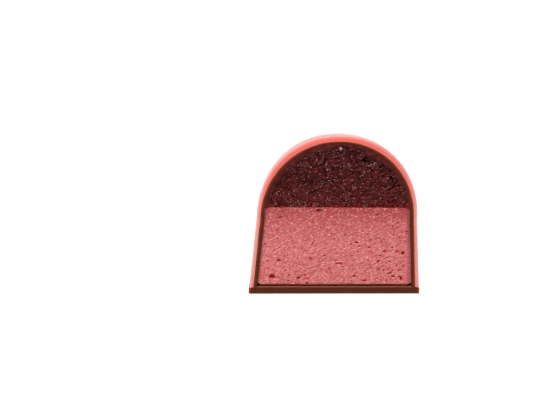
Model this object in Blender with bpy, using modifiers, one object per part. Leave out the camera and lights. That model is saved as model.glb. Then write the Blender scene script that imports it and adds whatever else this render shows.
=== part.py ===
"""Half of a moulded raspberry ganache bonbon, cut straight down through its middle.

A pink shell lined with dark chocolate holds raspberry gel above raspberry ganache, and a plate of
dark chocolate closes it below. The cut side faces -Y. Lengths are in metres and +Z is up.
"""

import math
import random

import bmesh
import bpy
from mathutils import Matrix, Vector, noise

MM = 0.001

# Outer form: a tapered wall that turns into a dome
FOOT_RADIUS = 14.0 * MM
HEIGHT = 26.5 * MM
SHOULDER_HEIGHT = 12.5 * MM
DRAFT_ANGLE = math.radians(4.35)
DOME_POWER = 2.13
INNER_DOME_POWER = 2.06

# Layers, measured on the cut
PINK_WALL = 0.67 * MM
PINK_TOP = 0.95 * MM
LINING_WALL = 0.6 * MM
LINING_TOP = 0.25 * MM
LAYER_GAP = 0.1 * MM
GEL_FLOOR = 14.63 * MM
GANACHE_FLOOR = 1.6 * MM
GANACHE_EDGE = 0.45 * MM

# Base plate
BASE_RIM_THICKNESS = 0.95 * MM
BASE_THICKNESS = 1.25 * MM
BASE_EDGE = 0.18 * MM

# Facets
TURN_STEPS = 90
DOME_STEPS = 14
FINE_CELL = 0.72 * MM

# Relief of the two fillings on the cut
GEL_RIM_WIDTH = 0.75 * MM
GEL_RIM_DEPTH = 0.06 * MM
GEL_CRAG_DEPTH = 0.62 * MM
GEL_CRAG_SIZE = 1.5 * MM
GANACHE_CRUMB_DEPTH = 0.14 * MM
GANACHE_CRUMB_SIZE = 1.1 * MM
GANACHE_SLUMP_DEPTH = 0.32 * MM
GANACHE_SLUMP_WIDTH = 0.8 * MM
KNIFE_DEPTH = 16.0 * MM

# Bubbles that the knife opened, as distance from the axis, height and radius
GANACHE_LARGE_PITS = (
    (-10.3 * MM, 3.0 * MM, 0.48 * MM),
    (-9.2 * MM, 5.7 * MM, 0.32 * MM),
    (-6.0 * MM, 2.7 * MM, 0.34 * MM),
    (4.6 * MM, 6.4 * MM, 0.30 * MM),
)
GANACHE_SMALL_PITS = 14
SMALL_PIT_RADIUS = (0.20 * MM, 0.30 * MM)
PIT_SPACING = 1.5 * MM
PIT_SEED = 11
GEL_PITS = (
    (4.55 * MM, 22.5 * MM, 0.62 * MM),
    (-5.2 * MM, 19.0 * MM, 0.42 * MM),
)

# The middle of the footprint stands on the origin, so the turning axis is half a radius in front of it
AXIS_LOCATION = (0.0, -FOOT_RADIUS / 2.0, 0.0)

# Surface colours, linear red, green and blue
PINK = (0.80, 0.235, 0.215)
DARK_CHOCOLATE = (0.095, 0.032, 0.016)
BASE_CHOCOLATE = (0.098, 0.030, 0.021)
GEL_RED = (0.075, 0.012, 0.012)
GANACHE_PINK = (0.55, 0.165, 0.160)


# Empty scene, then one collection for the pieces and one for the cutters
for leftover in list(bpy.data.objects):
    bpy.data.objects.remove(leftover, do_unlink=True)

bonbon = bpy.data.collections.new("raspberry_ganache_bonbon")
cutters = bpy.data.collections.new("cutters")
bpy.context.scene.collection.children.link(bonbon)
bpy.context.scene.collection.children.link(cutters)

axis = bpy.data.objects.new("turning_axis", None)
axis.location = AXIS_LOCATION
bonbon.objects.link(axis)


def material(name, colour, roughness):
    """A plain opaque surface of one colour."""
    made = bpy.data.materials.new(name)
    made.use_nodes = True
    surface = made.node_tree.nodes["Principled BSDF"]
    surface.inputs["Base Color"].default_value = (*colour, 1.0)
    surface.inputs["Roughness"].default_value = roughness
    surface.inputs["Metallic"].default_value = 0.0
    return made


def contour(wall_inset, top_inset, power, floor):
    """Points of one layer's surface as (radius, height), from the top of the dome down to floor."""
    shoulder_radius = FOOT_RADIUS - wall_inset - SHOULDER_HEIGHT * math.tan(DRAFT_ANGLE)
    dome_height = HEIGHT - top_inset - SHOULDER_HEIGHT
    first = max(0.0, floor - SHOULDER_HEIGHT) / dome_height
    first_angle = math.asin(first ** (power / 2.0))
    points = []
    for step in range(DOME_STEPS + 1):
        angle = math.pi / 2.0 + (first_angle - math.pi / 2.0) * step / DOME_STEPS
        radius = shoulder_radius * max(0.0, math.cos(angle)) ** (2.0 / power)
        points.append((radius, SHOULDER_HEIGHT + dome_height * math.sin(angle) ** (2.0 / power)))
    points[0] = (0.0, HEIGHT - top_inset)
    if floor < SHOULDER_HEIGHT:
        points.append((wall_radius(wall_inset, floor), floor))
    return points


def wall_radius(wall_inset, height):
    """Radius of the tapered wall, or of a layer inside it, at a height below the shoulder."""
    return FOOT_RADIUS - wall_inset - height * math.tan(DRAFT_ANGLE)


def turned(name, outline, surface):
    """A solid of revolution about the axis, from an outline that runs down its outer side."""
    mesh = bpy.data.meshes.new(name)
    chain = bmesh.new()
    corners = [chain.verts.new((radius, 0.0, height)) for radius, height in outline]
    for upper, lower in zip(corners, corners[1:]):
        chain.edges.new((upper, lower))
    if outline[0][0] > 0.0:
        chain.edges.new((corners[-1], corners[0]))
    chain.to_mesh(mesh)
    chain.free()
    piece = bpy.data.objects.new(name, mesh)
    piece.parent = axis
    # Half a step of turn puts the cut across the middle of a facet
    piece.rotation_euler = (0.0, 0.0, math.pi / TURN_STEPS)
    bonbon.objects.link(piece)
    turn = piece.modifiers.new("turn", "SCREW")
    turn.axis = "Z"
    turn.angle = math.tau
    turn.screw_offset = 0.0
    turn.steps = TURN_STEPS
    turn.render_steps = TURN_STEPS
    turn.use_merge_vertices = True
    turn.merge_threshold = 0.000001
    turn.use_smooth_shade = True
    mesh.materials.append(surface)
    return piece


def cutter(name, mesh):
    """A guide solid that only takes material away."""
    guide = bpy.data.objects.new(name, mesh)
    guide.parent = axis
    guide.hide_render = True
    guide.display_type = "WIRE"
    cutters.objects.link(guide)
    return guide


def cut(piece, guide):
    """Takes the guide's volume out of the piece."""
    step = piece.modifiers.new(guide.name, "BOOLEAN")
    step.operation = "DIFFERENCE"
    step.solver = "EXACT"
    step.object = guide


def flat_knife():
    """A block whose back face is the plane of the cut."""
    mesh = bpy.data.meshes.new("flat_knife")
    block = bmesh.new()
    bmesh.ops.create_cube(block, size=1.0)
    wide = 3.0 * FOOT_RADIUS
    bmesh.ops.scale(block, vec=(wide, wide / 2.0, 3.0 * HEIGHT), verts=block.verts)
    bmesh.ops.translate(block, vec=(0.0, -wide / 4.0, HEIGHT / 2.0), verts=block.verts)
    block.to_mesh(mesh)
    block.free()
    return cutter("flat_knife", mesh)


def rough_knife(name, bottom, top, depth_at):
    """A block whose back face leaves the relief depth_at(x, height) on what it cuts."""
    margin = 2.2 * FINE_CELL
    low = bottom - margin
    high = top + margin
    half_width = FOOT_RADIUS
    columns = round(2.0 * half_width / FINE_CELL)
    rows = round((high - low) / FINE_CELL)
    mesh = bpy.data.meshes.new(name)
    block = bmesh.new()
    bmesh.ops.create_grid(block, x_segments=columns, y_segments=rows, size=1.0)
    for corner in block.verts:
        across = corner.co.x * half_width
        height = (low + high) / 2.0 + corner.co.y * (high - low) / 2.0
        corner.co = Vector((across, depth_at(across, height), height))
    front = bmesh.ops.extrude_face_region(block, geom=block.faces[:])
    for element in front["geom"]:
        if isinstance(element, bmesh.types.BMVert):
            element.co.y = -KNIFE_DEPTH
    bmesh.ops.triangulate(block, faces=block.faces[:])
    bmesh.ops.recalc_face_normals(block, faces=block.faces[:])
    block.to_mesh(mesh)
    block.free()
    return cutter(name, mesh)


def bubbles(name, places, depth_at):
    """Small round cutters whose middles lie just under the cut surface."""
    mesh = bpy.data.meshes.new(name)
    group = bmesh.new()
    for across, height, radius in places:
        middle = Vector((across, depth_at(across, height) + 0.15 * radius, height))
        bmesh.ops.create_icosphere(group, subdivisions=1, radius=radius, matrix=Matrix.Translation(middle))
    group.to_mesh(mesh)
    group.free()
    return cutter(name, mesh)


def smooth_step(value):
    """Rises from 0 to 1 without corners."""
    share = min(1.0, max(0.0, value))
    return share * share * (3.0 - 2.0 * share)


def gel_depth(across, height):
    """How far the torn gel lies behind the cut: nearly flush along the dome, craggy within."""
    outer_radius = FOOT_RADIUS - PINK_WALL - LINING_WALL - SHOULDER_HEIGHT * math.tan(DRAFT_ANGLE)
    outer_height = HEIGHT - PINK_TOP - LINING_TOP - SHOULDER_HEIGHT
    reach = math.hypot(across / outer_radius, max(0.0, height - SHOULDER_HEIGHT) / outer_height)
    inside = (1.0 - reach) * outer_radius
    spot = Vector((across, 0.0, height)) / GEL_CRAG_SIZE
    crag = 0.5 + 0.5 * noise.fractal(spot, 0.9, 2.1, 3)
    share = smooth_step((inside - 0.5 * GEL_RIM_WIDTH) / GEL_RIM_WIDTH)
    return GEL_RIM_DEPTH + share * GEL_CRAG_DEPTH * min(1.0, max(0.0, crag))


def ganache_depth(across, height):
    """How far the crumbly ganache lies behind the cut: soft at its sides and foot."""
    wall = wall_radius(PINK_WALL + LINING_WALL, height)
    to_side = (wall - abs(across)) / GANACHE_SLUMP_WIDTH
    to_floor = (height - GANACHE_FLOOR) / GANACHE_SLUMP_WIDTH
    edge = 1.0 - smooth_step(min(to_side, to_floor))
    spot = Vector((across, 3.0 * MM, height)) / GANACHE_CRUMB_SIZE
    crumb = 0.5 + 0.5 * noise.fractal(spot, 0.8, 2.2, 3)
    return GANACHE_CRUMB_DEPTH * min(1.0, max(0.0, crumb)) + GANACHE_SLUMP_DEPTH * edge


def scattered_pits(count, seed):
    """Small open bubbles over the ganache, none touching another."""
    draw = random.Random(seed)
    places = list(GANACHE_LARGE_PITS)
    wanted = len(places) + count
    while len(places) < wanted:
        across = draw.uniform(-0.78, 0.78) * FOOT_RADIUS
        height = draw.uniform(GANACHE_FLOOR + 1.2 * MM, GEL_FLOOR - 1.2 * MM)
        radius = draw.uniform(*SMALL_PIT_RADIUS)
        if all(math.hypot(across - x, height - z) > PIT_SPACING for x, z, _ in places):
            places.append((across, height, radius))
    return places


half_gap = LAYER_GAP / 2.0
flat = flat_knife()

# Pink shell: coloured chocolate, thickest over the dome, its foot chamfered up towards the lining
outer_face = contour(0.0, 0.0, DOME_POWER, BASE_RIM_THICKNESS + LAYER_GAP)
inner_foot = BASE_THICKNESS + LAYER_GAP
pink_inner = contour(PINK_WALL - half_gap, PINK_TOP - half_gap, INNER_DOME_POWER, inner_foot)
pink_shell = turned(
    "pink_shell",
    outer_face + pink_inner[::-1],
    material("pink_shell", PINK, 0.32),
)
cut(pink_shell, flat)

# Dark chocolate lining: a thin coat inside the pink shell, standing on the base plate
lining_outer = contour(PINK_WALL + half_gap, PINK_TOP + half_gap, INNER_DOME_POWER, inner_foot)
lining_wall = PINK_WALL + LINING_WALL
lining_top = PINK_TOP + LINING_TOP
lining_inner = contour(lining_wall - half_gap, lining_top - half_gap, INNER_DOME_POWER, inner_foot)
chocolate_lining = turned(
    "chocolate_lining",
    lining_outer + lining_inner[::-1],
    material("dark_chocolate", DARK_CHOCOLATE, 0.42),
)
cut(chocolate_lining, flat)

# Base plate: dark chocolate over the whole foot, its rim a little lower than its middle
rim_slope_end = wall_radius(PINK_WALL, BASE_THICKNESS)
chocolate_base = turned(
    "chocolate_base",
    [
        (0.0, BASE_THICKNESS),
        (rim_slope_end, BASE_THICKNESS),
        (FOOT_RADIUS, BASE_RIM_THICKNESS),
        (FOOT_RADIUS, BASE_EDGE),
        (FOOT_RADIUS - BASE_EDGE, 0.0),
        (0.0, 0.0),
    ],
    material("base_chocolate", BASE_CHOCOLATE, 0.5),
)
cut(chocolate_base, flat)

# Raspberry gel: dark, glossy and torn where the knife passed, down to the level of the ganache
gel_floor = GEL_FLOOR + half_gap
gel_side = contour(lining_wall + half_gap, lining_top + half_gap, INNER_DOME_POWER, gel_floor)
raspberry_gel = turned(
    "raspberry_gel",
    gel_side + [(0.0, gel_floor)],
    material("raspberry_gel", GEL_RED, 0.25),
)
cut(raspberry_gel, rough_knife("gel_knife", gel_floor, HEIGHT, gel_depth))
cut(raspberry_gel, bubbles("gel_bubbles", GEL_PITS, gel_depth))

# Raspberry ganache: pale pink crumb with open bubbles, its lower edge rounded off above the base
ganache_top = GEL_FLOOR - half_gap
ganache_wall = lining_wall + half_gap
ganache_side = [
    point
    for point in contour(ganache_wall, lining_top + half_gap, INNER_DOME_POWER, GANACHE_FLOOR + GANACHE_EDGE)
    if point[1] < ganache_top
]
ganache_shoulder = contour(ganache_wall, lining_top + half_gap, INNER_DOME_POWER, ganache_top)[-1]
foot_radius = wall_radius(ganache_wall, GANACHE_FLOOR) - GANACHE_EDGE
raspberry_ganache = turned(
    "raspberry_ganache",
    [(0.0, ganache_top), ganache_shoulder, *ganache_side, (foot_radius, GANACHE_FLOOR), (0.0, GANACHE_FLOOR)],
    material("raspberry_ganache", GANACHE_PINK, 0.85),
)
cut(raspberry_ganache, rough_knife("ganache_knife", GANACHE_FLOOR, GEL_FLOOR, ganache_depth))
pits = scattered_pits(GANACHE_SMALL_PITS, PIT_SEED)
cut(raspberry_ganache, bubbles("ganache_bubbles", pits, ganache_depth))
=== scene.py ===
import math
import random

import bpy
import numpy
from mathutils import Matrix, Vector, noise


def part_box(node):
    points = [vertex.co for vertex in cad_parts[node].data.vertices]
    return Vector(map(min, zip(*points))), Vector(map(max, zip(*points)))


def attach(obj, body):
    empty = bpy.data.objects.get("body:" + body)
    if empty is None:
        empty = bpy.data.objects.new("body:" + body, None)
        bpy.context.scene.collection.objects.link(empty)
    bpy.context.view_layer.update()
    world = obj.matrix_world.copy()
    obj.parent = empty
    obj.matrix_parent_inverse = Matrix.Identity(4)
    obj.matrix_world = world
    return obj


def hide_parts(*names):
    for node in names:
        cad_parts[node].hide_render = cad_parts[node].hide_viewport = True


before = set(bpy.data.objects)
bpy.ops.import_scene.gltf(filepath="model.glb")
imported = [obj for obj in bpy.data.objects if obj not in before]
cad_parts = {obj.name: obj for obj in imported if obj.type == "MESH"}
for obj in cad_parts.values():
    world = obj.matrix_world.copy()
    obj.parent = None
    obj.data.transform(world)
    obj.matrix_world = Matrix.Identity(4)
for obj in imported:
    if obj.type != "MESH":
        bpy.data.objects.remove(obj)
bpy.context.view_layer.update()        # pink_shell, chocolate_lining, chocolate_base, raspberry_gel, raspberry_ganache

# Pink shell
# A thin cup of white chocolate coloured pink, cast in a polished dome mould and cut in half with a
# warm knife. Its outside keeps the mould's gloss; the cut is smooth, with a softly rounded outer edge.

MM = 0.001
CUT_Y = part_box("pink_shell")[0][1]
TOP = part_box("pink_shell")[1][2]
FOOT_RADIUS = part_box("chocolate_base")[1][0]
SHOULDER_HEIGHT = 12.5 * MM
DRAFT_ANGLE = math.radians(4.35)
DOME_POWER = 2.13
INNER_DOME_POWER = 2.06
BASE_RIM_THICKNESS = 1.0 * MM
BASE_THICKNESS = 1.2 * MM
PINK_WALL = 0.62 * MM
PINK_TOP = 0.95 * MM
PINK_EDGE = 0.12 * MM
# How far the border between two layers wanders, and over what length
LAYER_WAVER = 0.05 * MM
WAVER_LENGTH = 2.2 * MM
# How far a layer reaches into its neighbour, so that no crack shows between them
SINK = 0.04 * MM
# Points closer than this count as one
HAIR = 0.001 * MM
# Share of a section that lies on the straight wall, and the faces along, through and round a layer
WALL_SHARE = 0.36
SHELL_ALONG = 96
SHELL_ACROSS = 5
SHELL_TURN = 84
CREASE_ANGLE = math.radians(40.0)
# The knife's fine marks: how long they are for their width, and how steeply they rise
MARK_STRETCH = 6.0
MARK_RISE = math.radians(25.0)
PINK_OUTSIDE = (0.82, 0.115, 0.115)
PINK_OUTSIDE_DEEP = (0.81, 0.108, 0.109)
PINK_OUTSIDE_LIGHT = (0.83, 0.122, 0.120)
PINK_CUT_DOME = (0.82, 0.143, 0.112)
PINK_CUT_SHADED = (0.73, 0.163, 0.137)
PINK_CUT_WALL = (0.74, 0.222, 0.198)
PINK_CUT_HIGHLIGHT = (0.98, 0.600, 0.570)
# In millimetres: across, where the painted shade on the cut's right side begins and is full; in height, where the
# dome's colour begins to give way to the wall's paler, painted-darker colour and where it has
SHADED_SIDE = (1.0, 10.0)
WALL_HEIGHTS = (21.0, 12.0)
# On the outside and on the cut
PINK_ROUGHNESS = (0.13, 0.36)
PINK_COAT = (0.8, 0.15)


def clamped(value):
    """The value, held between 0 and 1."""
    return min(1.0, max(0.0, value))


def from_axis(point):
    """Distance of a point from the bonbon's upright axis."""
    return math.hypot(point.x, point.y - CUT_Y)


def wall_radius(height, wall_inset):
    """Radius of a layer's straight, tapered wall at a height."""
    return FOOT_RADIUS - wall_inset - height * math.tan(DRAFT_ANGLE)


def radius_at(height, wall_inset, top_inset, power):
    """Radius of a layer's surface at a height: a tapered wall, then a dome."""
    if height <= SHOULDER_HEIGHT:
        return wall_radius(height, wall_inset)
    shoulder_radius = wall_radius(SHOULDER_HEIGHT, wall_inset)
    share = min(1.0, (height - SHOULDER_HEIGHT) / (TOP - top_inset - SHOULDER_HEIGHT))
    return shoulder_radius * (1.0 - share ** power) ** (1.0 / power)


def contour_point(share, foot, wall_inset, top_inset, power):
    """Point (radius, height) of a layer's surface, with share running from its foot to the top."""
    if share < WALL_SHARE:
        height = foot + (SHOULDER_HEIGHT - foot) * share / WALL_SHARE
        return radius_at(height, wall_inset, top_inset, power), height
    angle = (share - WALL_SHARE) / (1.0 - WALL_SHARE) * math.pi / 2.0
    shoulder_radius = wall_radius(SHOULDER_HEIGHT, wall_inset)
    radius = shoulder_radius * max(0.0, math.cos(angle)) ** (2.0 / power)
    height = SHOULDER_HEIGHT + (TOP - top_inset - SHOULDER_HEIGHT) * math.sin(angle) ** (2.0 / power)
    if share > 0.9999:
        radius = 0.0
    return radius, height


def add_grid(name, columns, rows):
    """A flat grid two units wide, with nothing else selected."""
    bpy.ops.object.select_all(action="DESELECT")
    bpy.ops.mesh.primitive_grid_add(x_subdivisions=columns, y_subdivisions=rows, size=2.0)
    piece = bpy.context.object
    piece.name = name
    piece.data.name = name
    return piece


def shape_grid(piece, place):
    """Moves each corner of a fresh grid to place(along, across), both running from 0 to 1."""
    for corner in piece.data.vertices:
        corner.co = place((corner.co.x + 1.0) / 2.0, (corner.co.y + 1.0) / 2.0)


def spin_half_turn(steps):
    """Turns what is selected in edit mode half a turn round the bonbon's axis and closes the seams."""
    bpy.ops.mesh.spin(steps=steps, angle=math.pi, center=(0.0, CUT_Y, 0.0), axis=(0.0, 0.0, -1.0))
    bpy.ops.mesh.select_all(action="SELECT")
    bpy.ops.mesh.remove_doubles(threshold=HAIR)


def close_and_smooth():
    """Points all faces outwards, leaves edit mode and shades the piece smooth but for its creases."""
    bpy.ops.mesh.select_all(action="SELECT")
    bpy.ops.mesh.normals_make_consistent(inside=False)
    bpy.ops.object.mode_set(mode="OBJECT")
    bpy.ops.object.shade_smooth_by_angle(angle=CREASE_ANGLE)


def turned_layer(name, columns, rows, section):
    """A solid turned half round the axis from the map of its section, with both cut faces."""
    piece = add_grid(name, columns, rows)
    shape_grid(piece, section)
    bpy.ops.object.mode_set(mode="EDIT")
    bpy.ops.mesh.select_all(action="SELECT")
    spin_half_turn(SHELL_TURN)
    close_and_smooth()
    return piece


def bevel_edges(piece, is_wanted, width, segments):
    """Rounds the edges whose two ends pass the test."""
    bpy.ops.object.mode_set(mode="EDIT")
    bpy.ops.mesh.select_mode(type="EDGE")
    bpy.ops.mesh.select_all(action="DESELECT")
    bpy.ops.object.mode_set(mode="OBJECT")
    points = [corner.co for corner in piece.data.vertices]
    for edge in piece.data.edges:
        edge.select = is_wanted(points[edge.vertices[0]], points[edge.vertices[1]])
    bpy.ops.object.mode_set(mode="EDIT")
    bpy.ops.mesh.bevel(offset=width, segments=segments, profile=0.5, affect="EDGES", clamp_overlap=True)
    close_and_smooth()


def on_cut(point):
    """True for a point on the plane of the cut."""
    return abs(point.y - CUT_Y) < 2.0 * HAIR


def waver(radius, height, seed):
    """Slight wandering of the border between two layers, as they were poured."""
    return LAYER_WAVER * noise.noise(Vector((radius, seed * MM, height)) / WAVER_LENGTH)


def between(inner, outer, across, shift):
    """Point of a layer's section between its inner and outer surface, on the plane of the cut."""
    radius = inner[0] + (outer[0] - inner[0]) * across
    height = inner[1] + (outer[1] - inner[1]) * across
    if radius > 0.0:
        radius = max(0.0, radius + shift)
    return Vector((radius, CUT_Y, height))


def pink_section(along, across):
    """Section of the pink shell, from its inner to its outer surface."""
    inner = contour_point(along, BASE_THICKNESS - SINK, PINK_WALL, PINK_TOP, INNER_DOME_POWER)
    outer = contour_point(along, BASE_RIM_THICKNESS - SINK, 0.0, 0.0, DOME_POWER)
    return between(inner, outer, across, waver(inner[0], inner[1], 3.0) * (1.0 - across))


def is_outer_cut_edge(first, second):
    """True along the line where the cut meets the shell's outside."""
    for point in (first, second):
        outside = radius_at(point.z, 0.0, 0.0, DOME_POWER)
        is_within = point.z < TOP - 0.02 * MM and abs(point.x) < outside - 0.05 * MM
        if is_within or not on_cut(point):
            return False
    return True


def place_piece(piece, node):
    """Binds a finished piece to the bonbon in place of the plain solid."""
    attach(piece, "root")
    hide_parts(node)


def new_material(name, colour, roughness):
    """A material with its Principled shader, and the node tree to build on."""
    made = bpy.data.materials.new(name)
    made.use_nodes = True
    surface = made.node_tree.nodes["Principled BSDF"]
    surface.inputs["Base Color"].default_value = (*colour, 1.0)
    surface.inputs["Roughness"].default_value = roughness
    return made, surface, made.node_tree


def object_place(tree, stretch=1.0, rise=0.0):
    """Object coordinates in millimetres, for a pattern drawn out along a line that rises to the right."""
    coordinates = tree.nodes.new("ShaderNodeTexCoord")
    mapping = tree.nodes.new("ShaderNodeMapping")
    mapping.vector_type = "TEXTURE"
    mapping.inputs["Rotation"].default_value = (0.0, -rise, 0.0)
    mapping.inputs["Scale"].default_value = (stretch * MM, MM, MM)
    tree.links.new(coordinates.outputs["Object"], mapping.inputs["Vector"])
    return mapping.outputs["Vector"]


def noise_at(tree, vector, scale, detail=3.0, rough=0.5):
    """Value of a noise whose lumps are 1/scale millimetres across."""
    made = tree.nodes.new("ShaderNodeTexNoise")
    made.inputs["Scale"].default_value = scale
    made.inputs["Detail"].default_value = detail
    made.inputs["Roughness"].default_value = rough
    tree.links.new(vector, made.inputs["Vector"])
    return made.outputs["Fac"]


def remap(tree, value, low, high, to_low=0.0, to_high=1.0, smooth=True):
    """Spreads the stretch from low to high of a value over another range."""
    made = tree.nodes.new("ShaderNodeMapRange")
    made.interpolation_type = "SMOOTHSTEP" if smooth else "LINEAR"
    made.inputs["From Min"].default_value = low
    made.inputs["From Max"].default_value = high
    made.inputs["To Min"].default_value = to_low
    made.inputs["To Max"].default_value = to_high
    tree.links.new(value, made.inputs["Value"])
    return made.outputs["Result"]


def mix_colour(tree, share, first, second):
    """Blend of two colours, each a fixed value or another node's output."""
    made = tree.nodes.new("ShaderNodeMix")
    made.data_type = "RGBA"
    tree.links.new(share, made.inputs["Factor"])
    # Inputs 6 and 7 and output 2 are the ones for colours; those before them mix numbers and places
    for socket, colour in ((made.inputs[6], first), (made.inputs[7], second)):
        if isinstance(colour, tuple):
            socket.default_value = (*colour, 1.0)
        else:
            tree.links.new(colour, socket)
    return made.outputs[2]


def combine(tree, operation, first, second):
    """Arithmetic on two values, each a fixed number or another node's output."""
    made = tree.nodes.new("ShaderNodeMath")
    made.operation = operation
    for socket, value in zip(made.inputs, (first, second)):
        if isinstance(value, (int, float)):
            socket.default_value = value
        else:
            tree.links.new(value, socket)
    return made.outputs["Value"]


def axis_value(tree, vector, axis):
    """One coordinate of a place."""
    made = tree.nodes.new("ShaderNodeSeparateXYZ")
    tree.links.new(vector, made.inputs["Vector"])
    return made.outputs[axis]


def attribute_value(tree, name):
    """One of the piece's own point values."""
    made = tree.nodes.new("ShaderNodeAttribute")
    made.attribute_name = name
    return made.outputs["Fac"]


def add_bump(tree, surface, height, strength, distance):
    """Feeds a height to the surface's normal."""
    made = tree.nodes.new("ShaderNodeBump")
    made.inputs["Strength"].default_value = strength
    made.inputs["Distance"].default_value = distance
    tree.links.new(height, made.inputs["Height"])
    tree.links.new(made.outputs["Normal"], surface.inputs["Normal"])


def new_group(name, inputs, outputs):
    """An empty shader node group with named inputs and outputs."""
    group = bpy.data.node_groups.new(name, "ShaderNodeTree")
    for label, kind, value in inputs:
        socket = group.interface.new_socket(label, in_out="INPUT", socket_type=kind)
        if value is not None:
            socket.default_value = value
    for label, kind in outputs:
        group.interface.new_socket(label, in_out="OUTPUT", socket_type=kind)
    return group, group.nodes.new("NodeGroupInput"), group.nodes.new("NodeGroupOutput")


def place_group(tree, group, values):
    """Places a node group in a material with its own values."""
    made = tree.nodes.new("ShaderNodeGroup")
    made.node_tree = group
    for label, value in values.items():
        if isinstance(value, (int, float)):
            made.inputs[label].default_value = value
        else:
            tree.links.new(value, made.inputs[label])
    return made


def mark_points(piece, name, value_at):
    """Stores a value for each point of a piece."""
    values = [value_at(corner.co) for corner in piece.data.vertices]
    piece.data.attributes.new(name, "FLOAT", "POINT").data.foreach_set("value", values)


def knife_drag_group():
    """Fine marks of the knife, drawn up to the right, and a cloudy unevenness, both from 0 to 1."""
    group, enter, leave = new_group(
        "knife_drag",
        (("Place", "NodeSocketVector", None), ("Fineness", "NodeSocketFloat", 5.0)),
        (("Marks", "NodeSocketFloat"), ("Clouds", "NodeSocketFloat")),
    )
    turned = group.nodes.new("ShaderNodeMapping")
    turned.vector_type = "TEXTURE"
    turned.inputs["Rotation"].default_value = (0.0, -MARK_RISE, 0.0)
    turned.inputs["Scale"].default_value = (MARK_STRETCH, 1.0, 1.0)
    group.links.new(enter.outputs["Place"], turned.inputs["Vector"])
    marks = group.nodes.new("ShaderNodeTexNoise")
    marks.inputs["Detail"].default_value = 2.0
    group.links.new(turned.outputs["Vector"], marks.inputs["Vector"])
    group.links.new(enter.outputs["Fineness"], marks.inputs["Scale"])
    group.links.new(marks.outputs["Fac"], leave.inputs["Marks"])
    clouds = noise_at(group, enter.outputs["Place"], 0.7, 3.0, 0.6)
    group.links.new(clouds, leave.inputs["Clouds"])
    return group


def distance_inside(radius, height, wall_inset, top_inset, power):
    """Distance from a point of the section out to a layer's surface, in metres."""
    if height < SHOULDER_HEIGHT:
        return radius_at(height, wall_inset, top_inset, power) - radius
    shoulder_radius = wall_radius(SHOULDER_HEIGHT, wall_inset)
    up_share = (height - SHOULDER_HEIGHT) / (TOP - top_inset - SHOULDER_HEIGHT)
    reach = ((radius / shoulder_radius) ** power + up_share ** power) ** (1.0 / power)
    return (1.0 - reach) * shoulder_radius


def depth_in_wall(point):
    """0 at the shell's outside, growing to 1 at a wall's thickness further in."""
    return clamped(distance_inside(from_axis(point), point.z, 0.0, 0.0, DOME_POWER) / PINK_WALL)


pink_shell = turned_layer("pink_shell_cast", SHELL_ALONG, SHELL_ACROSS, pink_section)
bevel_edges(pink_shell, is_outer_cut_edge, PINK_EDGE, 3)
mark_points(pink_shell, "wall_depth", depth_in_wall)
knife_drag = knife_drag_group()

pink_material, pink_surface, pink_tree = new_material("pink_chocolate", PINK_OUTSIDE, 0.35)
pink_place = object_place(pink_tree)
pink_drag = place_group(pink_tree, knife_drag, {"Place": pink_place, "Fineness": 4.0})
cut_share = remap(pink_tree, axis_value(pink_tree, pink_place, "Y"), CUT_Y / MM + 0.20, CUT_Y / MM + 0.12)
pink_side = axis_value(pink_tree, pink_place, "X")
# Painted shade: the cut is coloured darker towards its right side, where less of the lamps' light falls.
shaded_side = remap(pink_tree, pink_side, *SHADED_SIDE)
pink_cut_colour = mix_colour(pink_tree, shaded_side, PINK_CUT_DOME, PINK_CUT_SHADED)
# Down the walls the cut turns a paler pink and is painted darker there, as painted shade.
pink_wall_share = remap(pink_tree, axis_value(pink_tree, pink_place, "Z"), *WALL_HEIGHTS)
pink_cut_colour = mix_colour(pink_tree, pink_wall_share, pink_cut_colour, PINK_CUT_WALL)
# Painted highlight: a pale line along the cut's rounded outer edge, a little weaker towards the right.
to_edge = remap(pink_tree, attribute_value(pink_tree, "wall_depth"), 1.0, 0.2, smooth=False)
highlight_side = remap(pink_tree, pink_side, *SHADED_SIDE, 0.49, 0.46)
highlight_rim = combine(pink_tree, "MULTIPLY", combine(pink_tree, "POWER", to_edge, 2.1), highlight_side)
pink_cut_colour = mix_colour(pink_tree, highlight_rim, pink_cut_colour, PINK_CUT_HIGHLIGHT)
pink_clouds = remap(pink_tree, pink_drag.outputs["Clouds"], 0.30, 0.75)
pink_outside = mix_colour(pink_tree, pink_clouds, PINK_OUTSIDE_DEEP, PINK_OUTSIDE_LIGHT)
pink_colour = mix_colour(pink_tree, cut_share, pink_outside, pink_cut_colour)
pink_tree.links.new(pink_colour, pink_surface.inputs["Base Color"])
pink_rough = remap(pink_tree, cut_share, 0.0, 1.0, *PINK_ROUGHNESS, smooth=False)
pink_tree.links.new(pink_rough, pink_surface.inputs["Roughness"])
pink_marks = combine(pink_tree, "MULTIPLY", pink_drag.outputs["Marks"], cut_share)
add_bump(pink_tree, pink_surface, pink_marks, 0.15, 0.03 * MM)
pink_coat = remap(pink_tree, cut_share, 0.0, 1.0, *PINK_COAT, smooth=False)
pink_tree.links.new(pink_coat, pink_surface.inputs["Coat Weight"])
pink_surface.inputs["Coat Roughness"].default_value = 0.08
pink_surface.inputs["Specular IOR Level"].default_value = 0.12
pink_surface.inputs["Subsurface Weight"].default_value = 0.15
pink_surface.inputs["Subsurface Radius"].default_value = (1.0, 0.4, 0.3)
pink_surface.inputs["Subsurface Scale"].default_value = 0.5 * MM
pink_shell.data.materials.append(pink_material)
place_piece(pink_shell, "pink_shell")

# Chocolate lining
# Dark chocolate swirled round the inside of the pink cup and tipped out again, so that it is thin
# at the crown and thicker down the walls. At the cut it is a narrow brown line, flush with the pink.

LINING_WALL = 0.6 * MM
LINING_TOP = 0.20 * MM
LINING_ACROSS = 4
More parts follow.
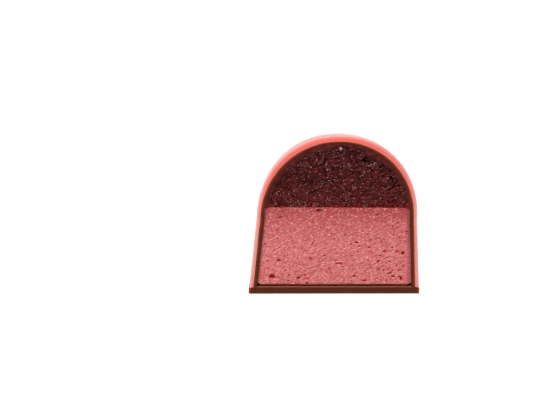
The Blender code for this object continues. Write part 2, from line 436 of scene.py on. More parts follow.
# How much thinner the lining is beside the gel; start and length, in height, of the stretch where
# it grows thin and of the one where it is back at its full thickness
LINING_THINNING = 0.20 * MM
THINNING_RISE = (13.0 * MM, 2.4 * MM)
THINNING_FALL = (16.5 * MM, 6.5 * MM)
LINING_COLOUR = (0.105, 0.0185, 0.0050)
LINING_DEEP = (0.075, 0.017, 0.005)
LINING_PINK_SIDE = (0.200, 0.042, 0.012)


def smooth_step(value):
    """Rises from 0 to 1 without corners."""
    share = clamped(value)
    return share * share * (3.0 - 2.0 * share)


def lining_thinning(height):
    """How much thinner the lining is beside the gel than beside the ganache."""
    rise = smooth_step((height - THINNING_RISE[0]) / THINNING_RISE[1])
    fall = 1.0 - smooth_step((height - THINNING_FALL[0]) / THINNING_FALL[1])
    return LINING_THINNING * rise * fall


def lining_section(along, across):
    """Section of the lining, reaching a little into the pink shell so that no crack shows."""
    wall = PINK_WALL + LINING_WALL
    top = PINK_TOP + LINING_TOP
    inner = contour_point(along, BASE_THICKNESS - SINK, wall, top, INNER_DOME_POWER)
    outer = contour_point(along, BASE_THICKNESS - SINK, PINK_WALL, PINK_TOP, INNER_DOME_POWER)
    inner_shift = waver(inner[0], inner[1], 8.0) + lining_thinning(inner[1])
    shift = waver(outer[0], outer[1], 3.0) * across + inner_shift * (1.0 - across)
    return between(inner, outer, across, shift)


def depth_in_lining(point):
    """0 where the lining meets the pink shell, growing to 1 at the fillings."""
    depth = distance_inside(from_axis(point), point.z, PINK_WALL, PINK_TOP, INNER_DOME_POWER)
    return clamped(depth / LINING_WALL)


lining = turned_layer("chocolate_lining_coat", SHELL_ALONG, LINING_ACROSS, lining_section)
mark_points(lining, "lining_depth", depth_in_lining)
lining_material, lining_surface, lining_tree = new_material("dark_chocolate", LINING_COLOUR, 0.5)
lining_place = object_place(lining_tree)
lining_drag = place_group(lining_tree, knife_drag, {"Place": lining_place, "Fineness": 5.0})
lining_side = remap(lining_tree, attribute_value(lining_tree, "lining_depth"), 0.65, 0.05)
lining_colour = mix_colour(lining_tree, lining_side, LINING_COLOUR, LINING_PINK_SIDE)
lining_dark = remap(lining_tree, lining_drag.outputs["Clouds"], 0.62, 0.35, 0.0, 0.5)
lining_colour = mix_colour(lining_tree, lining_dark, lining_colour, LINING_DEEP)
lining_tree.links.new(lining_colour, lining_surface.inputs["Base Color"])
add_bump(lining_tree, lining_surface, lining_drag.outputs["Marks"], 0.3, 0.03 * MM)
lining_surface.inputs["Specular IOR Level"].default_value = 0.08
lining.data.materials.append(lining_material)
place_piece(lining, "chocolate_lining")

# Base plate
# Dark chocolate spread over the filled mould and scraped level, which seals the foot. It is cut with
# the rest: a straight brown bar with softly broken edges, a little wider than the pink above it.

BASE_EDGE = 0.12 * MM
BASE_FOOT_EDGE = 0.05 * MM
BASE_ALONG = 60
BASE_ACROSS = 4
BASE_COLOUR = (0.080, 0.0215, 0.0085)
BASE_LIGHT_COLOUR = (0.090, 0.0250, 0.0100)
BASE_EDGE_HIGHLIGHT = (0.230, 0.075, 0.038)
BASE_END_COLOUR = (0.260, 0.052, 0.018)


def base_section(along, across):
    """Section of the base plate, from the axis to its rim and from its underside to its top."""
    radius = FOOT_RADIUS * along
    slope_start = FOOT_RADIUS - PINK_WALL
    rim_share = max(0.0, (radius - slope_start) / (FOOT_RADIUS - slope_start))
    top = BASE_THICKNESS - (BASE_THICKNESS - BASE_RIM_THICKNESS) * rim_share
    return Vector((radius, CUT_Y, top * across))


def at_rim_or_cut(first, second):
    """Whether an edge runs along the plate's rim, and whether it runs along the cut."""
    at_rim = all(from_axis(point) > FOOT_RADIUS - 0.01 * MM for point in (first, second))
    return at_rim, on_cut(first) and on_cut(second)


def is_foot_edge(first, second):
    """True along the plate's edge on the floor."""
    return max(first.z, second.z) < HAIR and any(at_rim_or_cut(first, second))


def is_upper_edge(first, second):
    """True along the plate's upper edge and where its rim meets the cut."""
    is_high = min(first.z, second.z) > BASE_RIM_THICKNESS - HAIR
    at_rim, at_cut = at_rim_or_cut(first, second)
    return (at_rim and at_cut) or (is_high and (at_rim or at_cut))


base = turned_layer("chocolate_base_plate", BASE_ALONG, BASE_ACROSS, base_section)
bevel_edges(base, is_foot_edge, BASE_FOOT_EDGE, 2)
bevel_edges(base, is_upper_edge, BASE_EDGE, 3)
# Where the two rounded edges meet, some points stand out by a hair: back to the cut and the rim
for corner in base.data.vertices:
    corner.co.y = max(corner.co.y, CUT_Y)
    reach = from_axis(corner.co)
    if reach > FOOT_RADIUS:
        corner.co.x *= FOOT_RADIUS / reach
        corner.co.y = CUT_Y + (corner.co.y - CUT_Y) * FOOT_RADIUS / reach
base.data.update()
base_material, base_surface, base_tree = new_material("base_chocolate", BASE_COLOUR, 0.5)
base_place = object_place(base_tree)
base_drag = place_group(base_tree, knife_drag, {"Place": base_place, "Fineness": 3.0})
base_clouds = remap(base_tree, base_drag.outputs["Clouds"], 0.40, 0.66)
base_colour = mix_colour(base_tree, base_clouds, BASE_COLOUR, BASE_LIGHT_COLOUR)
base_height = axis_value(base_tree, base_place, "Z")
# Painted highlight along the plate's upper edge at the cut, and painted light from the floor along its foot.
base_edge_lit = combine(
    base_tree,
    "MAXIMUM",
    remap(base_tree, base_height, 0.28, 0.08, 0.0, 0.45),
    remap(base_tree, base_height, BASE_THICKNESS / MM - 0.14, BASE_THICKNESS / MM - 0.03),
)
base_side = combine(base_tree, "ABSOLUTE", axis_value(base_tree, base_place, "X"), 0.0)
base_end_share = remap(base_tree, base_side, FOOT_RADIUS / MM - 0.50, FOOT_RADIUS / MM - 0.15, 0.0, 0.9)
base_colour = mix_colour(base_tree, base_edge_lit, base_colour, BASE_EDGE_HIGHLIGHT)
base_colour = mix_colour(base_tree, base_end_share, base_colour, BASE_END_COLOUR)
base_tree.links.new(base_colour, base_surface.inputs["Base Color"])
add_bump(base_tree, base_surface, base_drag.outputs["Marks"], 0.3, 0.04 * MM)
base_surface.inputs["Specular IOR Level"].default_value = 0.06
base.data.materials.append(base_material)
place_piece(base, "chocolate_base")

# Raspberry ganache
# White chocolate and raspberry puree, whipped and poured on the set gel. Cold, it cuts to a fine matt
# crumb with open bubbles; it pulls back from the lining a little at its sides and foot.

GEL_FLOOR = 14.54 * MM
GANACHE_FLOOR = 1.42 * MM
GANACHE_COLUMNS = 330
GANACHE_ROWS = 172
FILLING_TURN = 40
LINING_INNER = PINK_WALL + LINING_WALL
LINING_INNER_TOP = PINK_TOP + LINING_TOP
# How steeply the knife drew the grain of the cut up to the right
DRAG_ANGLE = math.radians(24.0)
# Width and height of the lower corners that are broken off
GANACHE_CORNER = (0.75 * MM, 0.48 * MM)
# How far the crumb lies behind the cut, in millimetres: all of it, more at the sides, more at the
# foot, up and down in slow swells, and up and down in its grain
GANACHE_SET_BACK = 0.13
GANACHE_SIDE_DEPTH = 0.16
GANACHE_FOOT_DEPTH = 0.22
GANACHE_SWELL = 0.05
GANACHE_GRAIN = 0.034
GANACHE_PLAIN = (0.55, 0.15, 0.15)
GANACHE_LIGHT = (0.68, 0.192, 0.188)
GANACHE_DEEP = (0.65, 0.168, 0.167)
# Gel juice that has soaked in from above, widely and then strongly just below the gel; each with
# the heights where it begins and is full, in millimetres
STAIN_COLOUR = (0.42, 0.062, 0.064)
STAIN_HEIGHTS = (7.5, 13.5)
UPPER_STAIN_COLOUR = (0.33, 0.036, 0.039)
UPPER_STAIN_HEIGHTS = (11.5, 14.6)
GRAIN_HOLLOW_SHADE = (0.40, 0.040, 0.043)
GRAIN_TOP_HIGHLIGHT = (0.80, 0.390, 0.380)
FINE_HOLLOW_SHADE = (0.50, 0.072, 0.075)
FLECK_AND_GLINT_COLOUR = (0.80, 0.420, 0.400)
GANACHE_EDGE_SHADE = (0.30, 0.070, 0.075)
GANACHE_FOOT_SHADOW = (0.115, 0.018, 0.018)
BUBBLE_COLOUR = (0.40, 0.016, 0.018)
UPPER_BUBBLE_COLOUR = (0.17, 0.009, 0.012)
# Small bubbles: how many, the seed of their draw, and their reach to both sides and up and down
SMALL_BUBBLES = 150
BUBBLE_SEED = 4
BUBBLE_REACH = 11.6
BUBBLE_LOWEST = 2.0
BUBBLE_HIGHEST = 14.2
# A bubble's depth for its smaller half size, and how ragged its rim is
BUBBLE_DEPTH = 1.1
BUBBLE_RAGGED = 0.35
# Open bubbles: place across, height, half width and half height, in millimetres
LARGE_BUBBLES = (
    (-10.2, 2.87, 0.52, 0.38),
    (-9.2, 5.62, 0.38, 0.24),
    (-5.95, 2.68, 0.36, 0.21),
    (-3.05, 14.1, 0.48, 0.26),
    (-9.2, 12.9, 0.46, 0.17),
    (3.3, 8.7, 0.36, 0.16),
    (3.8, 8.1, 0.22, 0.14),
    (5.4, 7.9, 0.34, 0.12),
    (7.0, 5.5, 0.28, 0.20),
    (8.0, 7.2, 0.42, 0.13),
    (11.0, 6.9, 0.30, 0.30),
    (10.0, 7.2, 0.26, 0.15),
    (0.7, 5.15, 0.70, 0.13),
    (9.1, 3.5, 0.20, 0.20),
    (9.6, 2.9, 0.30, 0.19),
    (10.9, 2.52, 0.25, 0.36),
    (4.9, 2.2, 0.36, 0.17),
    (3.2, 3.0, 0.36, 0.18),
    (-1.0, 4.3, 0.30, 0.10),
    (1.4, 10.0, 0.32, 0.12),
    (5.5, 9.2, 0.22, 0.13),
    (7.9, 3.9, 0.20, 0.15),
    (-4.5, 1.75, 0.30, 0.16),
)


def filling_block(name, columns, rows, outline):
    """A filling: its fine front sheet at the cut, its right edge spun round to the left, then capped."""
    piece = add_grid(name, columns, rows)
    on_right = {corner.index for corner in piece.data.vertices if corner.co.x > 0.999999}

    def place(along, across):
        """Point of the flat sheet, from the left edge to the right one and from foot to top."""
        radius, height = outline(across)
        return Vector(((2.0 * along - 1.0) * radius, CUT_Y, height))

    shape_grid(piece, place)
    bpy.ops.object.mode_set(mode="EDIT")
    bpy.ops.mesh.select_mode(type="EDGE")
    bpy.ops.mesh.select_all(action="DESELECT")
    bpy.ops.object.mode_set(mode="OBJECT")
    for edge in piece.data.edges:
        edge.select = edge.vertices[0] in on_right and edge.vertices[1] in on_right
    bpy.ops.object.mode_set(mode="EDIT")
    spin_half_turn(FILLING_TURN)
    bpy.ops.mesh.select_all(action="DESELECT")
    bpy.ops.mesh.select_non_manifold(extend=False)
    bpy.ops.mesh.fill_holes(sides=0)
    close_and_smooth()
    return piece


def ganache_outline(share):
    """Half width and height of the ganache at the cut, with its lower corners broken off."""
    height = GANACHE_FLOOR + (GEL_FLOOR - GANACHE_FLOOR) * share
    half_width = radius_at(height, LINING_INNER, LINING_INNER_TOP, INNER_DOME_POWER) + SINK
    half_width += lining_thinning(height)
    missing = clamped(1.0 - (height - GANACHE_FLOOR) / GANACHE_CORNER[1])
    half_width -= GANACHE_CORNER[0] * missing
    return half_width, height


def dragged(across, height, along_scale, over_scale):
    """A place in the pattern of a cut whose grain the knife drew up to the right."""
    along = across * math.cos(DRAG_ANGLE) + height * math.sin(DRAG_ANGLE)
    over = height * math.cos(DRAG_ANGLE) - across * math.sin(DRAG_ANGLE)
    return Vector((along * along_scale, 0.0, over * over_scale)) / MM


def to_lining(across, height):
    """Distance from the lining in millimetres, at the cut."""
    nominal = distance_inside(abs(across), height, LINING_INNER, LINING_INNER_TOP, INNER_DOME_POWER)
    return (nominal + lining_thinning(height)) / MM


def ganache_grain(across, height):
    """Crumb of the cut: above 0 where it stands up and below 0 in its small hollows."""
    coarse = noise.noise(dragged(across, height, 0.8, 2.4))
    fine = noise.noise(dragged(across, height, 1.9, 5.6) + Vector((4.0, 0.0, 0.0)))
    finest = noise.noise(dragged(across, height, 3.8, 9.0) + Vector((9.0, 0.0, 0.0)))
    return 0.45 * coarse + 1.0 * fine + 1.15 * finest


def ganache_depth(across, height):
    """How far the crumb lies behind the plane of the cut, in metres."""
    side = 1.0 - smooth_step(to_lining(across, height) / 0.75)
    foot = 1.0 - smooth_step((height - GANACHE_FLOOR) / (0.42 * MM))
    swell = noise.noise(dragged(across, height, 0.30, 0.55)) * GANACHE_SWELL
    rough = 0.35 + 0.65 * smooth_step(to_lining(across, height) / 1.3)
    grain = ganache_grain(across, height) * GANACHE_GRAIN * rough
    depth = GANACHE_SET_BACK + GANACHE_SIDE_DEPTH * side + GANACHE_FOOT_DEPTH * foot ** 2
    return (depth + swell - grain) * MM


def scatter_bubbles(count, seed, placed):
    """Small bubbles by chance, more of them low and to the right."""
    draw = random.Random(seed)
    made = list(placed)
    while len(made) < len(placed) + count:
        across = draw.uniform(-BUBBLE_REACH, BUBBLE_REACH)
        height = draw.uniform(BUBBLE_LOWEST, BUBBLE_HIGHEST)
        keep = 0.2 + 0.5 * smooth_step((across + 2.0) / 9.0) + 0.3 * smooth_step((9.5 - height) / 6.0)
        size = 0.06 + 0.09 * draw.random() ** 2.5
        stretch = draw.uniform(1.0, 1.9)
        if draw.random() < keep:
            made.append((across, height, size * stretch, size))
    return made


def carve(piece, depth_at, bubbles, name):
    """Presses the relief and the bubbles into the front sheet and marks where the bubbles are."""
    mesh = piece.data
    flat = numpy.empty(3 * len(mesh.vertices))
    mesh.vertices.foreach_get("co", flat)
    points = flat.reshape(-1, 3)
    front = numpy.nonzero(numpy.abs(points[:, 1] - CUT_Y) < HAIR)[0]
    x = points[front, 0]
    z = points[front, 2]
    depth = numpy.array([depth_at(across, height) for across, height in zip(x, z)])
    wobble = numpy.array([noise.noise(Vector((a, 5.0 * MM, h)) / (0.3 * MM)) for a, h in zip(x, z)])
    hollow = numpy.zeros(len(front))
    for across, height, half_width, half_height in bubbles:
        reach = numpy.hypot((x / MM - across) / half_width, (z / MM - height) / half_height)
        ragged = numpy.maximum(0.0, reach + BUBBLE_RAGGED * wobble)
        inside = numpy.clip(1.0 - ragged ** 2, 0.0, 1.0) ** 0.5
        hollow = numpy.maximum(hollow, inside)
        depth += inside * BUBBLE_DEPTH * min(half_width, half_height) * MM
    points[front, 1] += depth
    mesh.vertices.foreach_set("co", points.ravel())
    mesh.update()
    marks = numpy.zeros(len(mesh.vertices))
    marks[front] = hollow
    mesh.attributes.new(name, "FLOAT", "POINT").data.foreach_set("value", marks)


def specks_group():
    """Scattered specks, some fainter than others; Density is the share of the places that bear one."""
    group, enter, leave = new_group(
        "specks",
        (
            ("Place", "NodeSocketVector", None),
            ("Fineness", "NodeSocketFloat", 3.0),
            ("Density", "NodeSocketFloat", 0.2),
            ("Size", "NodeSocketFloat", 0.2),
        ),
        (("Specks", "NodeSocketFloat"),),
    )
    facing = group.nodes.new("ShaderNodeMapping")
    facing.inputs["Rotation"].default_value = (-math.pi / 2.0, 0.0, 0.0)
    group.links.new(enter.outputs["Place"], facing.inputs["Vector"])
    cells = group.nodes.new("ShaderNodeTexVoronoi")
    cells.voronoi_dimensions = "2D"
    group.links.new(facing.outputs["Vector"], cells.inputs["Vector"])
    group.links.new(enter.outputs["Fineness"], cells.inputs["Scale"])
    chances = group.nodes.new("ShaderNodeSeparateColor")
    group.links.new(cells.outputs["Color"], chances.inputs["Color"])
    reach = combine(group, "DIVIDE", cells.outputs["Distance"], enter.outputs["Size"])
    kept = combine(group, "LESS_THAN", chances.outputs["Red"], enter.outputs["Density"])
    inside = combine(group, "MULTIPLY", remap(group, reach, 1.0, 0.6), kept)
    strength = remap(group, chances.outputs["Blue"], 0.0, 1.0, 0.35, 1.0, smooth=False)
    group.links.new(combine(group, "MULTIPLY", inside, strength), leave.inputs["Specks"])
    return group


specks = specks_group()
ganache = filling_block("raspberry_ganache_crumb", GANACHE_COLUMNS, GANACHE_ROWS, ganache_outline)
mark_points(ganache, "edge", lambda point: 1.0 - smooth_step(to_lining(point.x, point.z) / 0.9))
mark_points(ganache, "grain", lambda point: ganache_grain(point.x, point.z))
bubbles = scatter_bubbles(SMALL_BUBBLES, BUBBLE_SEED, LARGE_BUBBLES)
carve(ganache, ganache_depth, bubbles, "bubble")

ganache_material, ganache_surface, ganache_tree = new_material("raspberry_ganache", GANACHE_PLAIN, 0.55)
ganache_place = object_place(ganache_tree)
blotch = remap(ganache_tree, noise_at(ganache_tree, ganache_place, 0.5, 3.0), 0.35, 0.65)
ganache_body = mix_colour(ganache_tree, blotch, GANACHE_LIGHT, GANACHE_DEEP)
ganache_height = axis_value(ganache_tree, ganache_place, "Z")
stain = remap(ganache_tree, ganache_height, *STAIN_HEIGHTS, 0.0, 0.62)
ganache_body = mix_colour(ganache_tree, stain, ganache_body, STAIN_COLOUR)
upper_stain = remap(ganache_tree, ganache_height, *UPPER_STAIN_HEIGHTS, 0.0, 0.80)
ganache_body = mix_colour(ganache_tree, upper_stain, ganache_body, UPPER_STAIN_COLOUR)
# Painted shade in the crumb's small hollows and painted highlight on its raised grain.
grain_mark = attribute_value(ganache_tree, "grain")
grain_hollow_shade = remap(ganache_tree, grain_mark, 0.05, -0.65, 0.0, 0.75)
ganache_body = mix_colour(ganache_tree, grain_hollow_shade, ganache_body, GRAIN_HOLLOW_SHADE)
grain_top_highlight = remap(ganache_tree, grain_mark, 0.15, 0.85, 0.0, 0.75)
ganache_body = mix_colour(ganache_tree, grain_top_highlight, ganache_body, GRAIN_TOP_HIGHLIGHT)
ganache_bump = noise_at(ganache_tree, object_place(ganache_tree, 2.0, DRAG_ANGLE), 6.0, 3.0, 0.6)
# Painted shade, deep red, in the hollows of the fine bump.
fine_hollow_shade = remap(ganache_tree, ganache_bump, 0.52, 0.34, 0.0, 0.70)
ganache_body = mix_colour(ganache_tree, fine_hollow_shade, ganache_body, FINE_HOLLOW_SHADE)
# Pale flecks: partly pale crumbs, partly painted glints of the moist crumb.
ganache_drag_place = object_place(ganache_tree, 3.0, DRAG_ANGLE)
flecks_and_glints = place_group(
    ganache_tree, specks, {"Place": ganache_drag_place, "Fineness": 4.8, "Density": 0.13, "Size": 0.25}
)
ganache_body = mix_colour(ganache_tree, flecks_and_glints.outputs["Specks"], ganache_body, FLECK_AND_GLINT_COLOUR)
# Painted shade along the ganache's sides, where it meets the lining.
edge_shade = remap(ganache_tree, attribute_value(ganache_tree, "edge"), 0.0, 1.0, 0.0, 0.55, smooth=False)
ganache_body = mix_colour(ganache_tree, edge_shade, ganache_body, GANACHE_EDGE_SHADE)
# Painted shadow along the ganache's foot, in the gap above the base plate.
ganache_foot = GANACHE_FLOOR / MM
foot_shadow = remap(ganache_tree, ganache_height, ganache_foot + 0.24, ganache_foot + 0.02, 0.0, 0.6)
ganache_body = mix_colour(ganache_tree, foot_shadow, ganache_body, GANACHE_FOOT_SHADOW)
bubble_mark = remap(ganache_tree, attribute_value(ganache_tree, "bubble"), 0.05, 0.55)
bubble_colour = mix_colour(ganache_tree, upper_stain, BUBBLE_COLOUR, UPPER_BUBBLE_COLOUR)
ganache_colour = mix_colour(ganache_tree, bubble_mark, ganache_body, bubble_colour)
ganache_tree.links.new(ganache_colour, ganache_surface.inputs["Base Color"])
add_bump(ganache_tree, ganache_surface, ganache_bump, 1.0, 0.055 * MM)
ganache_surface.inputs["Specular IOR Level"].default_value = 0.3
ganache.data.materials.append(ganache_material)
place_piece(ganache, "raspberry_ganache")

# Raspberry gel
# Raspberry puree set with pectin, piped into the crown first. The knife smears it flat in a band
# along the lining and tears it open within, so it shows wet, dark crags full of small glints.

GEL_COLUMNS = 380
GEL_ROWS = 172
# The hole at the upper right: place across, height, half width and half height, in millimetres
GEL_CAVITY = (4.05, 22.3, 0.75, 0.38)
# Place across and height of the crumb that lies on the gel
CRUMB_PLACE = (0.14 * MM, 24.3 * MM)
# How far the gel lies behind the cut, in millimetres: the smeared band and its unevenness, then
# the torn middle, its swells, its tears, its roughness and its lumps
BAND_DEPTH = 0.05
BAND_UNEVEN = 0.015
TORN_DEPTH = 0.20
TORN_SWELL = 0.14
TORN_CRACK = 0.26
TORN_ROUGH = 0.06
TORN_LUMP = 0.08
GEL_PLAIN = (0.06, 0.008, 0.008)
GEL_DARK_RED = (0.030, 0.0008, 0.0008)
GEL_BRIGHT_RED = (0.125, 0.0150, 0.0140)
GEL_LOW_RED = (0.130, 0.0150, 0.0140)
# Heights between which the torn gel turns to the red of its lower part, in millimetres
GEL_LOW_HEIGHTS = (19.5, 15.5)
GEL_CRACK_SHADE = (0.030, 0.0004, 0.0004)
BAND_DEEP = (0.056, 0.0080, 0.0074)
BAND_LIGHT = (0.098, 0.0185, 0.0165)
SEEP_COLOUR = (0.130, 0.0070, 0.0065)
CAVITY_SHADE = (0.012, 0.0004, 0.0004)
FAINT_GLINTS = (0.26, 0.100, 0.095)
GLINT_COLOUR = (0.54, 0.380, 0.370)


def gel_outline(share):
    """Half width and height of the gel at the cut, from its floor to the crown."""
    top = TOP - LINING_INNER_TOP + SINK
    foot = GEL_FLOOR - SINK
    height = foot + (top - foot) * (1.0 - (1.0 - share) ** 1.35)
    nominal = radius_at(height, LINING_INNER - SINK, LINING_INNER_TOP - SINK, INNER_DOME_POWER)
    return nominal + lining_thinning(height), height


def gel_torn(across, height):
    """0 on the smeared band along the lining, 1 in the torn middle, with a ragged border."""
    spot = Vector((across, 0.0, height)) / MM
    band = 0.18 + 0.34 * smooth_step((height / MM - 16.5) / 6.0)
    border = band + 0.30 * noise.noise(spot * 0.6) + 0.35 * noise.noise(spot * 1.9)
    crumb_reach = math.hypot(across - CRUMB_PLACE[0], height - CRUMB_PLACE[1]) / MM
    border -= 0.6 * (1.0 - smooth_step(crumb_reach / 1.2))
    return smooth_step((to_lining(across, height) - border) / 0.80)


def gel_crack(across, height):
    """Long narrow tears that follow the knife, from 0 to 1."""
    warp = noise.noise(Vector((across, 9.0 * MM, height)) / (0.8 * MM)) * 0.25
    line = abs(noise.noise(dragged(across, height, 0.55, 1.5) + Vector((3.0, warp, warp))))
    where = 0.35 + 0.9 * noise.noise(dragged(across, height, 0.5, 0.7) + Vector((20.0, 0.0, 0.0)))
    near_band = 1.0 - smooth_step((to_lining(across, height) - 1.0) / 1.3)
    at_right = smooth_step((across / MM - 2.0) / 3.0) * smooth_step((height / MM - 17.0) / 2.5)
    width = 0.14 + 0.20 * near_band * at_right
    return smooth_step(1.0 - line / width) * clamped(where + near_band * at_right)


def gel_lumps(across, height):
    """Rounded wet lumps of the tear, from 0 between them to 1 on their tops."""
    distances, _ = noise.voronoi(dragged(across, height, 2.2, 3.4) + Vector((0.0, 1.7, 0.0)))
    return math.sqrt(max(0.0, 1.0 - (distances[0] / 0.62) ** 2))


def gel_glints(across, height):
    """Share of the small wet points that shine: more at the crown, floor and hole, and in clusters."""
    inward = to_lining(across, height)
    under_crown = smooth_step((inward - 0.5) / 0.4) * (1.0 - smooth_step((inward - 1.2) / 0.9))
    under_crown *= smooth_step((height / MM - 18.5) / 3.0)
    by_floor = 1.0 - smooth_step((height - GEL_FLOOR - 0.10 * MM) / (0.22 * MM))
    to_cavity = math.hypot(across / MM - GEL_CAVITY[0] - 0.9, height / MM - GEL_CAVITY[1] + 0.3)
    by_cavity = 1.0 - smooth_step((to_cavity - 0.5) / 0.8)
    cluster = smooth_step(1.9 * noise.noise(dragged(across, height, 0.45, 0.7) + Vector((31.0, 0.0, 0.0))))
    return min(1.0, 0.13 + 0.28 * under_crown + 0.35 * by_floor + 0.5 * by_cavity + 0.40 * cluster)


def gel_depth(across, height):
    """How far the gel lies behind the plane of the cut, in metres."""
    torn = gel_torn(across, height)
    broad = 0.5 + 0.5 * noise.noise(dragged(across, height, 0.35, 0.65))
    fine = noise.fractal(dragged(across, height, 3.0, 4.6), 0.6, 2.0, 3)
    low = BAND_DEPTH + BAND_UNEVEN * noise.noise(dragged(across, height, 0.8, 2.0))
    relief = TORN_DEPTH + TORN_SWELL * broad + TORN_CRACK * gel_crack(across, height)
    relief += TORN_ROUGH * fine - TORN_LUMP * gel_lumps(across, height)
    return (low + torn * relief) * MM


def vector_step(tree, operation, first, second):
    """Arithmetic on two vectors, the second a fixed value or another node's output."""
    made = tree.nodes.new("ShaderNodeVectorMath")
    made.operation = operation
    tree.links.new(first, made.inputs[0])
    if isinstance(second, tuple):
        made.inputs[1].default_value = second
    else:
        tree.links.new(second, made.inputs[1])
    return made


def facet_height(tree, place, fineness, steepness):
    """Height of many small flat facets, each tilted its own way, which catch the lamps as glints."""
    cells = tree.nodes.new("ShaderNodeTexVoronoi")
    cells.inputs["Scale"].default_value = fineness
    tree.links.new(place, cells.inputs["Vector"])
    reach = vector_step(tree, "SUBTRACT", place, cells.outputs["Position"])
    tilt = vector_step(tree, "SUBTRACT", cells.outputs["Color"], (0.5, 0.5, 0.5))
    slope = vector_step(tree, "DOT_PRODUCT", reach.outputs["Vector"], tilt.outputs["Vector"])
    return combine(tree, "MULTIPLY", slope.outputs["Value"], steepness)


gel = filling_block("raspberry_gel_torn", GEL_COLUMNS, GEL_ROWS, gel_outline)
mark_points(gel, "torn", lambda point: gel_torn(point.x, point.z))
mark_points(gel, "crack", lambda point: gel_crack(point.x, point.z))
mark_points(gel, "glints", lambda point: gel_glints(point.x, point.z))
carve(gel, gel_depth, [GEL_CAVITY], "cavity")

gel_material, gel_surface, gel_tree = new_material("raspberry_gel", GEL_PLAIN, 0.2)
gel_drag_place = object_place(gel_tree, 1.6, DRAG_ANGLE)
gel_blotch = noise_at(gel_tree, gel_drag_place, 2.0, 5.0, 0.7)
blotch_share = remap(gel_tree, gel_blotch, 0.36, 0.66)
torn_colour = mix_colour(gel_tree, blotch_share, GEL_DARK_RED, GEL_BRIGHT_RED)
gel_height = axis_value(gel_tree, object_place(gel_tree), "Z")
low_share = remap(gel_tree, gel_height, *GEL_LOW_HEIGHTS, 0.0, 0.45)
torn_colour = mix_colour(gel_tree, low_share, torn_colour, GEL_LOW_RED)
# The tears are coloured near black: the gel's own darkest red, with painted shade in them.
crack_shade = remap(gel_tree, attribute_value(gel_tree, "crack"), 0.1, 0.8)
torn_colour = mix_colour(gel_tree, crack_shade, torn_colour, GEL_CRACK_SHADE)
torn_mark = attribute_value(gel_tree, "torn")
smear = remap(gel_tree, noise_at(gel_tree, gel_drag_place, 2.0, 3.0, 0.6), 0.35, 0.65)
band_colour = mix_colour(gel_tree, smear, BAND_DEEP, BAND_LIGHT)
gel_colour = mix_colour(gel_tree, torn_mark, band_colour, torn_colour)
seep_noise = noise_at(gel_tree, gel_drag_place, 0.8, 2.0)
seep = combine(
    gel_tree,
    "MULTIPLY",
    remap(gel_tree, gel_height, GEL_FLOOR / MM + 1.3, GEL_FLOOR / MM),
    remap(gel_tree, seep_noise, 0.35, 0.6),
)
gel_colour = mix_colour(gel_tree, seep, gel_colour, SEEP_COLOUR)
# Painted shade: the hole is coloured nearly black.
cavity_shade = remap(gel_tree, attribute_value(gel_tree, "cavity"), 0.2, 0.8)
gel_colour = mix_colour(gel_tree, cavity_shade, gel_colour, CAVITY_SHADE)
# Painted glints: pale specks over the torn gel, faint fine ones all over it and brighter ones where the glints mark is
# high.
glint_density = combine(gel_tree, "MULTIPLY", attribute_value(gel_tree, "glints"), torn_mark)
faint_glint_density = combine(gel_tree, "MULTIPLY", torn_mark, 0.22)
for fineness, density, size, speck_colour in (
    (6.4, faint_glint_density, 0.26, FAINT_GLINTS),
    (3.6, glint_density, 0.21, GLINT_COLOUR),
):
    painted_glints = place_group(
        gel_tree, specks, {"Place": gel_drag_place, "Fineness": fineness, "Density": density, "Size": size}
    )
    gel_colour = mix_colour(gel_tree, painted_glints.outputs["Specks"], gel_colour, speck_colour)
gel_tree.links.new(gel_colour, gel_surface.inputs["Base Color"])
gel_rough = remap(gel_tree, torn_mark, 0.0, 1.0, 0.5, 0.12, smooth=False)
gel_tree.links.new(gel_rough, gel_surface.inputs["Roughness"])
gel_facets = facet_height(gel_tree, gel_drag_place, 4.8, 1.7)
add_bump(gel_tree, gel_surface, combine(gel_tree, "MULTIPLY", gel_facets, torn_mark), 1.0, MM)
gel_surface.inputs["Specular IOR Level"].default_value = 0.08
gel.data.materials.append(gel_material)
place_piece(gel, "raspberry_gel")

# Ganache crumb on the gel
# One pale crumb that the knife dragged up from the ganache and left on the gel near the crown.

CRUMB_RADIUS = 0.36 * MM
CRUMB_LUMPINESS = 0.4
CRUMB_COLOUR = (0.34, 0.140, 0.145)
CRUMB_DEEP = (0.30, 0.110, 0.115)
CRUMB_LIGHT = (0.38, 0.180, 0.185)

bpy.ops.object.select_all(action="DESELECT")
crumb_centre = Vector((CRUMB_PLACE[0], CUT_Y + CRUMB_RADIUS * 0.95, CRUMB_PLACE[1]))
bpy.ops.mesh.primitive_ico_sphere_add(subdivisions=4, radius=CRUMB_RADIUS, location=crumb_centre)
crumb = bpy.context.object
crumb.name = "ganache_crumb"
bpy.ops.object.transform_apply(location=True, rotation=True, scale=True)
# The ball is drawn towards a diamond with lumpy faces
for corner in crumb.data.vertices:
    reach = corner.co - crumb_centre
    lump = 1.0 + CRUMB_LUMPINESS * noise.noise(corner.co / (0.2 * MM))
    diamond = CRUMB_RADIUS / (abs(reach.x) + abs(reach.y) + abs(reach.z))
    corner.co = crumb_centre + reach * lump * (0.3 + 0.7 * diamond)
bpy.ops.object.shade_smooth()
crumb_material, crumb_surface, crumb_tree = new_material("ganache_crumb", CRUMB_COLOUR, 0.6)
crumb_grain = remap(crumb_tree, noise_at(crumb_tree, object_place(crumb_tree), 5.0), 0.4, 0.6)
crumb_colour = mix_colour(crumb_tree, crumb_grain, CRUMB_DEEP, CRUMB_LIGHT)
crumb_tree.links.new(crumb_colour, crumb_surface.inputs["Base Color"])
crumb.data.materials.append(crumb_material)
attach(crumb, "root")

# Studio
# A plain pale floor, a soft lamp above to the left with weaker ones beside it, and a camera a little
# above the bonbon, turned slightly to its left.

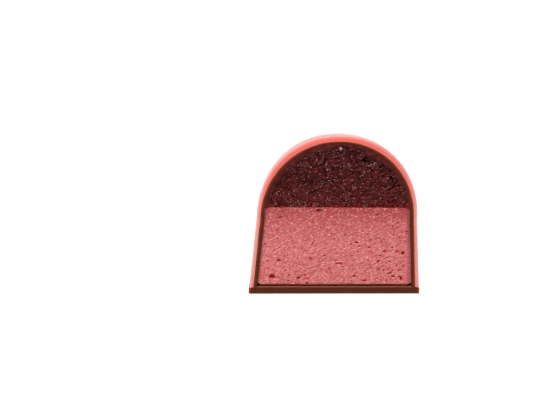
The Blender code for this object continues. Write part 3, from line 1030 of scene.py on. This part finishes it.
FLOOR_SIZE = 3.0
FLOOR_GREY = (0.35, 0.35, 0.35)
WHITE = (1.0, 1.0, 1.0, 1.0)
# How brightly the floor glows for the camera, and mirrored in the gloss, from near to far
SEEN_GLOW = 0.85
NEAR_GLOW = 0.20
FAR_GLOW = 0.65
# How bright the air is in front of the bonbon and behind it
FRONT_AIR = 0.14
BACK_AIR = 0.90
IMAGE_WIDTH = 533.0
FOCAL_PIXELS = 1615.0
SENSOR_WIDTH = 36.0
CAMERA_TARGET = Vector((0.0, CUT_Y, 13.0 * MM))
CAMERA_DISTANCE = 260.0 * MM
VIEW_AZIMUTH = math.radians(-7.64)
VIEW_ELEVATION = math.radians(16.53)
AIM_AZIMUTH = math.radians(-5.0)
AIM_ELEVATION = math.radians(16.0)
CAMERA_ROLL = math.radians(1.6)


def soft_light(name, place, size, power):
    """A rectangular lamp that faces the bonbon."""
    lamp = bpy.data.lights.new(name, "AREA")
    lamp.shape = "RECTANGLE"
    lamp.size = size[0]
    lamp.size_y = size[1]
    lamp.energy = power
    stand = bpy.data.objects.new(name, lamp)
    stand.location = place
    aim = CAMERA_TARGET - Vector(place)
    stand.rotation_euler = aim.to_track_quat("-Z", "Y").to_euler()
    bpy.context.scene.collection.objects.link(stand)


bpy.ops.object.select_all(action="DESELECT")
bpy.ops.mesh.primitive_plane_add(size=FLOOR_SIZE, location=(0.0, 0.0, 0.0))
floor = bpy.context.object
floor.name = "pale_floor"
floor_material, floor_surface, floor_tree = new_material("pale_floor", FLOOR_GREY, 0.9)
floor_surface.inputs["Specular IOR Level"].default_value = 0.0
floor_surface.inputs["Emission Color"].default_value = WHITE
rays = floor_tree.nodes.new("ShaderNodeLightPath")
seen = combine(floor_tree, "MULTIPLY", rays.outputs["Is Camera Ray"], SEEN_GLOW)
floor_depth = axis_value(floor_tree, object_place(floor_tree), "Y")
floor_glow = remap(floor_tree, floor_depth, -20.0, 120.0, NEAR_GLOW, FAR_GLOW)
mirrored = combine(floor_tree, "MULTIPLY", rays.outputs["Is Glossy Ray"], floor_glow)
floor_tree.links.new(combine(floor_tree, "ADD", seen, mirrored), floor_surface.inputs["Emission Strength"])
floor.data.materials.append(floor_material)

soft_light("key_strip", (-0.12, -0.22, 0.30), (0.15, 0.035), 1.15)
soft_light("crown_strip", (-0.03, -0.10, 0.36), (0.24, 0.06), 0.75)
soft_light("left_strip", (-0.27, -0.12, 0.24), (0.04, 0.20), 0.35)
soft_light("right_strip", (0.25, -0.20, 0.22), (0.03, 0.18), 0.12)
soft_light("back_strip", (0.05, 0.26, 0.30), (0.24, 0.035), 0.30)

world = bpy.data.worlds.new("studio_air")
world.use_nodes = True
world_tree = world.node_tree
world_side = axis_value(world_tree, world_tree.nodes.new("ShaderNodeTexCoord").outputs["Generated"], "Y")
backdrop = remap(world_tree, world_side, -0.3, 0.9, FRONT_AIR, BACK_AIR)
world_tree.links.new(backdrop, world_tree.nodes["Background"].inputs["Strength"])
world_tree.nodes["Background"].inputs["Color"].default_value = WHITE
bpy.context.scene.world = world
bpy.context.scene.view_settings.view_transform = "Standard"

camera_data = bpy.data.cameras.new("camera")
camera_data.sensor_width = SENSOR_WIDTH
camera_data.lens = FOCAL_PIXELS / IMAGE_WIDTH * SENSOR_WIDTH
camera_data.clip_start = 0.01
camera = bpy.data.objects.new("camera", camera_data)
direction = Vector((
    math.sin(VIEW_AZIMUTH) * math.cos(VIEW_ELEVATION),
    -math.cos(VIEW_AZIMUTH) * math.cos(VIEW_ELEVATION),
    math.sin(VIEW_ELEVATION),
))
turn = Matrix.Rotation(AIM_AZIMUTH, 4, "Z") @ Matrix.Rotation(math.pi / 2.0 - AIM_ELEVATION, 4, "X")
camera.matrix_world = (
    Matrix.Translation(CAMERA_TARGET + direction * CAMERA_DISTANCE)
    @ turn
    @ Matrix.Rotation(CAMERA_ROLL, 4, "Z")
)
bpy.context.scene.collection.objects.link(camera)
bpy.context.scene.camera = camera
